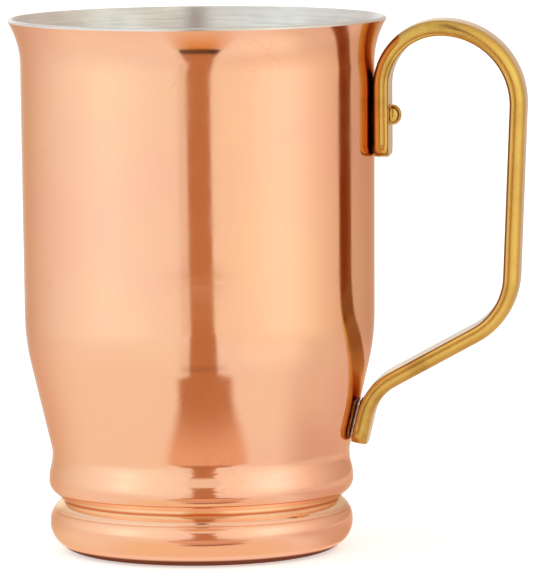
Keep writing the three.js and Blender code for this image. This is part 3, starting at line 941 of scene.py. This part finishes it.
def rounded_square(u, v, corner):
    """Moves a point of a square into the same square with rounded corners."""
    reach = max(abs(u), abs(v))
    if reach == 0:
        return u, v
    edge_u, edge_v = u / reach, v / reach
    inner = 1 - corner
    if abs(edge_u) > inner and abs(edge_v) > inner:
        du, dv = abs(edge_u) - inner, abs(edge_v) - inner
        far = math.hypot(du, dv)
        edge_u = math.copysign(inner + du * corner / far, edge_u)
        edge_v = math.copysign(inner + dv * corner / far, edge_v)
    return edge_u * reach, edge_v * reach


class MUG_OT_stage(bpy.types.Operator):
    """Set up the floor, the light and the camera"""

    bl_idname = "mug.stage"
    bl_label = "Stage"
    bl_options = {"REGISTER", "UNDO"}

    def execute(self, context):
        studio = context.scene.mug_studio
        set_world(context, studio)
        set_floor(studio)
        set_cards(studio)
        set_camera(context, studio)
        context.scene.view_settings.view_transform = "Standard"
        return {"FINISHED"}


BROWN, DARK, PALE = (0.56, 0.28, 0.13), (0.2, 0.11, 0.09), (1.0, 0.97, 0.88)


def wire(tree, kind, values=(), **settings):
    """A node of a shader tree, with its inputs joined or set in order."""
    node = tree.nodes.new(kind)
    for name, value in settings.items():
        setattr(node, name, value)
    for target, value in zip(node.inputs, values):
        if hasattr(value, "links"):
            tree.links.new(value, target)
        elif value is not None:
            target.default_value = value
    return node.outputs[0] if node.outputs else node


def glowing(f, tint, amount=1.0):
    """A card's material: it glows where the amount is 1 and is clear where it is 0."""
    tree = f.material.node_tree
    light = wire(tree, "ShaderNodeEmission", (tint if hasattr(tint, "links") else (*tint, 1), 1.0))
    clear = wire(tree, "ShaderNodeBsdfTransparent", ((1, 1, 1, 1),))
    mixed = wire(tree, "ShaderNodeMixShader", (amount, clear, light))
    tree.links.new(mixed, tree.nodes["Material Output"].inputs["Surface"])
    tree.nodes.remove(f.shader)
    return f.material


def set_world(context, studio):
    """A tent with soft lights at both sides and behind for the metal, and white to the camera."""
    world = bpy.data.worlds.new("tent")
    context.scene.world = world
    world.use_nodes = True
    tree = world.node_tree
    tree.nodes.clear()
    place = tree.nodes.new("ShaderNodeTexCoord").outputs["Generated"]
    tent = wire(tree, "ShaderNodeBackground", ((*studio.tent, 1), 1.0))
    left = (studio.left_side, studio.left_rise)
    right = (studio.right_side, studio.right_rise)
    for (side, rise), narrow, strength, tint in (
        (left, studio.left_narrow, studio.left_light, studio.light),
        (left, studio.streak_narrow, studio.streak_light, studio.light),
        (right, studio.right_narrow, studio.right_light, studio.right_warm),
        (right, studio.cool_narrow, studio.right_light, studio.right_cool),
        ((studio.back_side, studio.left_rise), studio.back_narrow, studio.back_light, studio.light),
    ):
        turned = side + studio.turn
        way = Vector((math.sin(turned), -math.cos(turned), math.tan(rise))).normalized()
        facing = tree.nodes.new("ShaderNodeVectorMath")
        facing.operation = "DOT_PRODUCT"
        tree.links.new(place, facing.inputs[0])
        facing.inputs[1].default_value = way
        fall = wire(tree, "ShaderNodeMath", (facing.outputs["Value"], narrow, -narrow),
                    operation="MULTIPLY_ADD")
        lobe = wire(tree, "ShaderNodeMath", (fall,), operation="EXPONENT")
        bright = wire(tree, "ShaderNodeMath", (lobe, strength), operation="MULTIPLY")
        lit = wire(tree, "ShaderNodeBackground", ((*tint, 1), bright))
        tent = wire(tree, "ShaderNodeAddShader", (tent, lit))
    white = wire(tree, "ShaderNodeBackground", ((1, 1, 1, 1), 1.0))
    seen = tree.nodes.new("ShaderNodeLightPath").outputs["Is Camera Ray"]
    mixed = wire(tree, "ShaderNodeMixShader", (seen, tent, white))
    wire(tree, "ShaderNodeOutputWorld", (mixed,))


def floor_finish(studio):
    material = bpy.data.materials.new("white_floor")
    material.use_nodes = True
    tree = material.node_tree
    tree.nodes.clear()
    matt = wire(tree, "ShaderNodeBsdfDiffuse", ((0.8, 0.8, 0.8, 1),))
    seen = tree.nodes.new("ShaderNodeLightPath").outputs["Is Camera Ray"]
    lift = wire(tree, "ShaderNodeMath", (seen, studio.floor_lift), operation="MULTIPLY")
    lifted = wire(tree, "ShaderNodeEmission", ((1, 1, 1, 1), lift))
    both = wire(tree, "ShaderNodeAddShader", (matt, lifted))
    wire(tree, "ShaderNodeOutputMaterial", (both,))
    return material


def disc(radius, height, count=96):
    turns = np.linspace(0, 2 * math.pi, count, endpoint=False)
    return [(radius * math.cos(a), radius * math.sin(a), height) for a in turns]


def set_floor(studio):
    """A white floor for the camera; the metal mirrors a disc of its own instead."""
    floor_radius = 40
    floor = staged("floor", disc(floor_radius, -0.02 * MM), floor_finish(studio))
    floor.visible_glossy = False
    card("mirrored_floor", disc(studio.floor_disc, 0.05 * MM), mirrored_floor(studio))


def facing_camera(f, studio):
    """Places on a card, as lengths to the camera's right and towards the camera."""
    x, y, _ = f.parts(f.place.outputs["Object"])
    sin, cos = math.sin(studio.turn), math.cos(studio.turn)
    right = f.sum("ADD", f.product(x, cos), f.product(y, sin))
    ahead = f.sum("SUBTRACT", f.product(x, sin), f.product(y, cos))
    return right, ahead, f.radius(x, y)


def mirrored_floor(studio):
    """What the metal sees of the floor, as a painted reflection: painted shadow under the foot,
    warm painted copper light round it, paler farther out, dimmer to the right, and a brown bell,
    the mug's painted shadow filled with copper light, and a strip towards the camera."""
    f = Finish("mirrored_floor")
    right, ahead, far = facing_camera(f, studio)
    to_right, to_camera = f.sum("DIVIDE", right, far), f.sum("DIVIDE", ahead, far)
    front = f.product(f.between(to_camera, 0.55, 0.95), f.between(far, 90 * MM, 36 * MM))
    outer = f.between(far, 90 * MM, 200 * MM)
    dim = f.product(f.between(to_right, 0.72, 1.0), f.between(far, 80 * MM, 112 * MM, 1, 0.6))
    lit = f.product(f.band(to_right, 0.3, 0.6, 0.8, 1.0), f.between(far, 105 * MM, 190 * MM))
    behind = f.product(f.between(to_camera, 0.3, -0.9), 0.7)
    # Painted light and shade: a pale ring of painted light just by the foot, and painted contact
    # shadow under it.
    by_foot, shadow_under_foot = f.between(far, 33.4 * MM, 32.2 * MM), f.between(far, 31.5 * MM, 30.5 * MM)
    colour_now = (1.03, 1.0, 0.92)
    for amount, tint in (
        (front, (1.0, 0.86, 0.62)),
        (outer, (1.05, 1.06, 1.0)),
        (dim, (0.8, 0.65, 0.55)),
        (lit, (1.15, 1.14, 1.04)),
        (behind, (0.78, 0.64, 0.6)),
        (by_foot, (1.1, 1.02, 0.95)),
        (shadow_under_foot, (0.2, 0.1, 0.08)),
    ):
        colour_now = f.blend(amount, colour_now, tint)

    bell_middle, strip_slope = 5 * MM, 0.032
    tint = (0.9, 0.62, 0.42)
    for start, end, next_tint in (
        (68, 94, (0.56, 0.285, 0.135)),
        (66, 46, (0.74, 0.5, 0.36)),
        (46.5, 44.5, (0.3, 0.13, 0.08)),
    ):
        tint = f.blend(f.between(ahead, start * MM, end * MM), tint, next_tint)
    half = f.between(ahead, 92 * MM, 70 * MM, 30 * MM, 34 * MM)
    for start, end, change in ((66, 44, -19), (92, 110, 6), (101, 121, -24)):
        half = f.sum("ADD", half, f.between(ahead, start * MM, end * MM, 0, change * MM))
    side = f.off(right, bell_middle)
    bell = f.between(f.sum("SUBTRACT", half, side), -1 * MM, 9 * MM)
    bell = f.product(bell, f.band(ahead, 42 * MM, 43 * MM, 118 * MM, 124 * MM))
    colour_now = f.blend(bell, colour_now, tint)

    slope = f.sum("DIVIDE", right, ahead)
    soft = f.product(f.band(slope, -0.27, -0.17, -0.04, 0), 0.2)
    strip = f.sum("MAXIMUM", f.between(f.off(slope, strip_slope), 0.16, 0.13), soft)
    strip = f.product(strip, f.between(ahead, 108 * MM, 116 * MM))
    colour_now = f.blend(strip, colour_now, BROWN)
    line = f.product(f.band(ahead, 120 * MM, 123 * MM, 131 * MM, 137 * MM),
                     f.between(side, 24 * MM, 34 * MM, 0.28, 0))
    colour_now = f.blend(line, colour_now, (0.2, 0.08, 0.05))
    fade = f.between(far, 170 * MM, 0.98 * studio.floor_disc, 1, 0)
    return glowing(f, colour_now, f.sum("MAXIMUM", fade, strip))


def canopy(studio):
    """The card in front of the mug that the flared lip mirrors: orange near the wall, then a dark
    edge and a brown strip."""
    f = Finish("canopy")
    right, ahead, _ = facing_camera(f, studio)
    middle = 3 * MM
    side = f.off(right, middle)
    orange = f.product(f.between(side, 40 * MM, 7 * MM),
                       f.between(ahead, 50 * MM, 114 * MM, 0.3, 1))
    colour_now = f.blend(orange, (1.04, 1.03, 0.97), (0.8, 0.4, 0.11))
    beyond = f.between(ahead, 113 * MM, 115 * MM)
    colour_now = f.blend(beyond, colour_now, BROWN)
    edge = f.product(beyond, f.between(ahead, 137 * MM, 134 * MM))
    colour_now = f.blend(edge, colour_now, (0.05, 0.025, 0.02))
    half = f.between(ahead, 112 * MM, 240 * MM, 24.8 * MM, 27.6 * MM)
    narrow = f.between(f.sum("SUBTRACT", half, side), -0.8 * MM, 0.8 * MM)
    broad = f.between(side, 34 * MM, 24 * MM)
    near = f.product(broad, f.sum("SUBTRACT", 1.0, beyond))
    return glowing(f, colour_now, f.sum("ADD", near, f.product(narrow, beyond)))


def staged(name, corners, material):
    mesh = bpy.data.meshes.new(name)
    mesh.from_pydata([tuple(corner) for corner in corners], [], [tuple(range(len(corners)))])
    mesh.materials.append(material)
    item = bpy.data.objects.new(name, mesh)
    bpy.context.scene.collection.objects.link(item)
    return item


def card(name, corners, material):
    """A flat card that only shows in the metal's reflections."""
    item = staged(name, corners, material)
    for ray in ("camera", "diffuse", "shadow", "transmission", "volume_scatter"):
        setattr(item, f"visible_{ray}", False)


def set_cards(studio):
    """What the metal mirrors in front of the mug: the gap in the tent that the camera looks
    through, from near the mug to far off and up, and a canopy that slopes down from the wall.
    Corners are lengths to the right, towards the camera and up."""
    gap = math.tan(math.radians(7.5))
    wall, near, far, high = 0.039, 0.345, 2.6, 0.95
    near_half, far_half = (near - wall) * gap, (far - wall) * gap
    near_left, near_right = -near_half + 0.01, near_half + 0.018
    crest, overhead = (1.4, 1.67), (0.5, 2.15)
    soft_lift = 0.2 * MM

    def sloping(places, height):
        """A card parallel to the rays that the wall mirrors; height is its height at the pivot."""
        fall, pivot = 0.113, 120
        return [(right * MM, ahead * MM, (height - fall * (ahead - pivot)) * MM)
                for right, ahead in places]

    brown, dark = glowing(Finish("card_brown"), BROWN), glowing(Finish("card_dark"), DARK)
    faint = glowing(Finish("card_faint"), BROWN, 0.2)
    pale = glowing(Finish("card_pale"), PALE)
    cards = (
        ("card_gap_low", brown, [
            (-far_half, far, 0), (far_half, far, 0), (near_right, near, 0), (near_left, near, 0)]),
        ("card_gap_soft", faint, [
            (-0.6, far, soft_lift), (-far_half, far, soft_lift),
            (near_left, near, soft_lift), (-0.068, near, soft_lift)]),
        ("card_gap_high", brown, [
            (-far_half, far, 0), (0.6, far, 0), (0.04, far, high), (-0.04, far, high)]),
        ("card_above", dark, [
            (-0.3, far, high), (0.3, far, high), (0.16, *crest), (-0.16, *crest)]),
        ("card_top", dark, [
            (-0.16, *crest), (0.16, *crest), (0.07, *overhead), (-0.07, *overhead)]),
        ("card_canopy", canopy(studio), sloping(
            ((-36, 250), (36, 250), (36, 66), (-36, 66)), 55)),
        ("card_canopy_underside", pale, sloping(
            ((-23, 165), (29, 165), (28.6, 111), (-22.6, 111)), 54.7)),
    )
    turn = Matrix.Rotation(studio.turn, 3, "Z")
    clear_of_floor = 0.1 * MM
    for name, material, corners in cards:
        card(name, [turn @ Vector((right, -ahead, up + clear_of_floor))
                    for right, ahead, up in corners], material)


def set_camera(context, studio):
    data = bpy.data.cameras.new("camera")
    data.sensor_width = 36
    data.lens = studio.lens
    data.clip_start, data.clip_end = 0.05, 100
    data.dof.use_dof = False
    camera = bpy.data.objects.new("camera", data)
    context.scene.collection.objects.link(camera)
    sin, cos = math.sin(studio.turn), math.cos(studio.turn)
    place = Vector((sin * studio.distance, -cos * studio.distance, studio.camera_height))
    aim = Vector((cos * studio.aim_side, sin * studio.aim_side, studio.aim_height))
    look = (aim - place).to_track_quat("-Z", "Y").to_matrix().to_4x4()
    camera.matrix_world = Matrix.Translation(place) @ look @ Matrix.Rotation(studio.roll, 4, "Z")
    context.scene.camera = camera


OPERATORS = (
    MUG_OT_copper_cup,
    MUG_OT_tin_lining,
    MUG_OT_brass_handle,
    MUG_OT_handle_rivet,
    MUG_OT_solder,
    MUG_OT_stage,
)


class MUG_PT_panel(bpy.types.Panel):
    """Lists the mug's pieces and its stage"""

    bl_idname = "MUG_PT_panel"
    bl_label = "Copper mug"
    bl_space_type = "VIEW_3D"
    bl_region_type = "UI"
    bl_category = "Copper mug"

    def draw(self, context):
        for operator in OPERATORS:
            self.layout.operator(operator.bl_idname)


CLASSES = (*GROUPS.values(), *OPERATORS, MUG_PT_panel)


def register():
    for kind in CLASSES:
        bpy.utils.register_class(kind)
    for name, kind in GROUPS.items():
        setattr(bpy.types.Scene, name, PointerProperty(type=kind))


def unregister():
    for name in GROUPS:
        delattr(bpy.types.Scene, name)
    for kind in reversed(CLASSES):
        bpy.utils.unregister_class(kind)


def main():
    register()
    bpy.ops.mug.copper_cup()
    bpy.ops.mug.tin_lining()
    bpy.ops.mug.brass_handle()
    bpy.ops.mug.handle_rivet()
    bpy.ops.mug.solder()
    bpy.ops.mug.stage()


if __name__ == "__main__":
    main()
